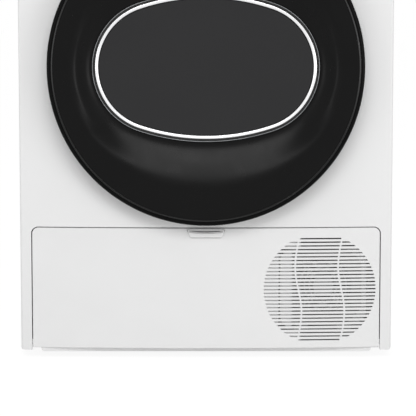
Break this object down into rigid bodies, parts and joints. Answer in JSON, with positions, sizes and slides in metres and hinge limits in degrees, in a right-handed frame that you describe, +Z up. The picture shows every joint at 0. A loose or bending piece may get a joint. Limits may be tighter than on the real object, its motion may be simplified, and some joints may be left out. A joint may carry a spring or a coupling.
{
  "type": "clothes dryer",
  "caption": "White front-loading heat-pump tumble dryer with a large round black door and a full-width kick plate with a round slotted vent.",
  "frame": {"origin": "on the floor, under the middle of the machine's box", "axes": "+Z up, -Y out of the door, +X to the right seen from the front"},
  "size_m": [0.596, 0.641, 0.845],
  "materials": {
    "black_gloss": "polished black moulding",
    "black_steel": "black stoved paint",
    "bright_steel": "turned steel",
    "cast_zinc": "die-cast, satin",
    "clear_glass": "clear tempered glass",
    "dark_plastic": "fine moulded texture",
    "display_glass": "polished dark display cover",
    "felt": "dense wool felt",
    "fin_aluminium": "bare thin fins",
    "galvanised": "bare zinc-coated sheet",
    "grey_plastic": "fine moulded texture",
    "grey_rubber": "matt moulded rubber",
    "light_plastic": "fine moulded texture",
    "rubber": "matt moulded rubber",
    "silver_trim": "satin metallised trim",
    "smoked_lens": "polished dark tinted lens",
    "stainless": "brushed drum sheet",
    "white_enamel": "smooth satin baked enamel",
    "white_plastic": "smooth satin moulding"
  },
  "bodies": {
    "cabinet": {"base_tray": "grey_plastic", "left_side_panel": "white_enamel", "right_side_panel": "white_enamel", "rear_panel": "galvanised", "front_panel": "white_enamel", "worktop": "white_plastic", "control_fascia": "white_plastic", "display_window": "display_glass", "control_board": "dark_plastic", "tank_bay": "light_plastic", "front_bulkhead": "light_plastic", "filter_duct": "light_plastic", "rear_bulkhead": "galvanised", "front_felt": "felt", "drive_motor": "bright_steel", "drive_belt": "rubber", "fan_volute": "grey_plastic", "compressor": "black_steel", "exchanger_housing": "light_plastic", "evaporator": "fin_aluminium", "condenser": "fin_aluminium", "evaporator_cover": "grey_plastic", "cooling_fan_frame": "light_plastic", "drain_pump": "dark_plastic", "cable_gland": "dark_plastic", "drain_spigot": "light_plastic", "door_catch": "dark_plastic", "hinge_bracket": "cast_zinc"},
    "door": {"door_ring": "black_gloss", "door_trim": "silver_trim", "door_window": "smoked_lens", "door_inner_shell": "light_plastic", "door_glass": "clear_glass", "door_seal": "grey_rubber", "door_hinge_arm": "bright_steel", "door_striker": "white_plastic"},
    "kick_flap": {"kick_plate": "white_plastic", "kick_pull": "white_plastic"},
    "tank_drawer": {"tank_front": "white_plastic", "water_tank": "light_plastic", "tank_lid": "light_plastic"},
    "knob": {"programme_knob": "silver_trim"},
    "drum": {"drum_shell": "stainless", "drum_lifters": "light_plastic", "drum_shaft": "bright_steel"},
    "left_drum_roller": {"left_roller": "grey_plastic"},
    "right_drum_roller": {"right_roller": "grey_plastic"},
    "motor_rotor": {"motor_shaft": "bright_steel"},
    "lint_screen": {"lint_filter": "grey_plastic"},
    "left_lever": {"left_cover_lever": "dark_plastic"},
    "right_lever": {"right_cover_lever": "dark_plastic"},
    "cooling_fan": {"cooling_fan_rotor": "dark_plastic"},
    "power_button_cap": {"power_button": "silver_trim"},
    "start_button_cap": {"start_button": "silver_trim"},
    "time_button_cap": {"time_button": "silver_trim"},
    "option_button_cap": {"option_button": "silver_trim"},
    "foot_front_left_pad": {"foot_front_left": "rubber"},
    "foot_front_right_pad": {"foot_front_right": "rubber"},
    "foot_rear_left_pad": {"foot_rear_left": "rubber"},
    "foot_rear_right_pad": {"foot_rear_right": "rubber"}
  },
  "joints": [
    {"name": "door_hinge", "type": "hinge", "parent": "cabinet", "child": "door", "pos_m": [0.232, -0.308, 0.4695], "axis": [0, 0, 1], "range_deg": [0, 105]},
    {"name": "kick_hinge", "type": "hinge", "parent": "cabinet", "child": "kick_flap", "pos_m": [0, -0.2725, 0.024], "axis": [1, 0, 0], "range_deg": [0, 72]},
    {"name": "tank_slide", "type": "slide", "parent": "cabinet", "child": "tank_drawer", "axis": [0, -1, 0], "range_m": [0, 0.38]},
    {"name": "knob_turn", "type": "hinge", "parent": "cabinet", "child": "knob", "pos_m": [-0.022, -0.3205, 0.7715], "axis": [0, -1, 0], "continuous": true},
    {"name": "drum_spin", "type": "hinge", "parent": "cabinet", "child": "drum", "pos_m": [0, 0, 0.49], "axis": [0, 1, 0], "continuous": true},
    {"name": "left_roller_spin", "type": "hinge", "parent": "cabinet", "child": "left_drum_roller", "pos_m": [-0.17, 0, 0.24732], "axis": [0, 1, 0], "continuous": true},
    {"name": "right_roller_spin", "type": "hinge", "parent": "cabinet", "child": "right_drum_roller", "pos_m": [0.17, 0, 0.24732], "axis": [0, 1, 0], "continuous": true},
    {"name": "motor_spin", "type": "hinge", "parent": "cabinet", "child": "motor_rotor", "pos_m": [0.062, 0, 0.1], "axis": [0, 1, 0], "continuous": true},
    {"name": "cooling_fan_spin", "type": "hinge", "parent": "cabinet", "child": "cooling_fan", "pos_m": [0.1884, 0, 0.1166], "axis": [0, 1, 0], "continuous": true},
    {"name": "filter_slide", "type": "slide", "parent": "cabinet", "child": "lint_screen", "axis": [0, 0, 1], "range_m": [0, 0.2]},
    {"name": "left_lever_turn", "type": "hinge", "parent": "cabinet", "child": "left_lever", "pos_m": [-0.24, -0.2565, 0.117], "axis": [0, 1, 0], "range_deg": [0, 90]},
    {"name": "right_lever_turn", "type": "hinge", "parent": "cabinet", "child": "right_lever", "pos_m": [0.06, -0.2565, 0.117], "axis": [0, -1, 0], "range_deg": [0, 90]},
    {"name": "power_button_press", "type": "slide", "parent": "cabinet", "child": "power_button_cap", "axis": [0, 1, 0], "range_m": [0, 0.0012], "stiffness_N_per_m": 800, "springref_m": -0.0006},
    {"name": "start_button_press", "type": "slide", "parent": "cabinet", "child": "start_button_cap", "axis": [0, 1, 0], "range_m": [0, 0.0012], "stiffness_N_per_m": 800, "springref_m": -0.0006},
    {"name": "time_button_press", "type": "slide", "parent": "cabinet", "child": "time_button_cap", "axis": [0, 1, 0], "range_m": [0, 0.0012], "stiffness_N_per_m": 800, "springref_m": -0.0006},
    {"name": "option_button_press", "type": "slide", "parent": "cabinet", "child": "option_button_cap", "axis": [0, 1, 0], "range_m": [0, 0.0012], "stiffness_N_per_m": 800, "springref_m": -0.0006},
    {"name": "foot_front_left_screw", "type": "slide", "parent": "cabinet", "child": "foot_front_left_pad", "axis": [0, 0, -1], "range_m": [0, 0.015]},
    {"name": "foot_front_right_screw", "type": "slide", "parent": "cabinet", "child": "foot_front_right_pad", "axis": [0, 0, -1], "range_m": [0, 0.015]},
    {"name": "foot_rear_left_screw", "type": "slide", "parent": "cabinet", "child": "foot_rear_left_pad", "axis": [0, 0, -1], "range_m": [0, 0.015]},
    {"name": "foot_rear_right_screw", "type": "slide", "parent": "cabinet", "child": "foot_rear_right_pad", "axis": [0, 0, -1], "range_m": [0, 0.015]}
  ],
  "couplings": [
    {"joint": "left_roller_spin", "follows": "drum_spin", "ratio": -15.444},
    {"joint": "right_roller_spin", "follows": "drum_spin", "ratio": -15.444},
    {"joint": "motor_spin", "follows": "drum_spin", "ratio": 23.167}
  ]
}
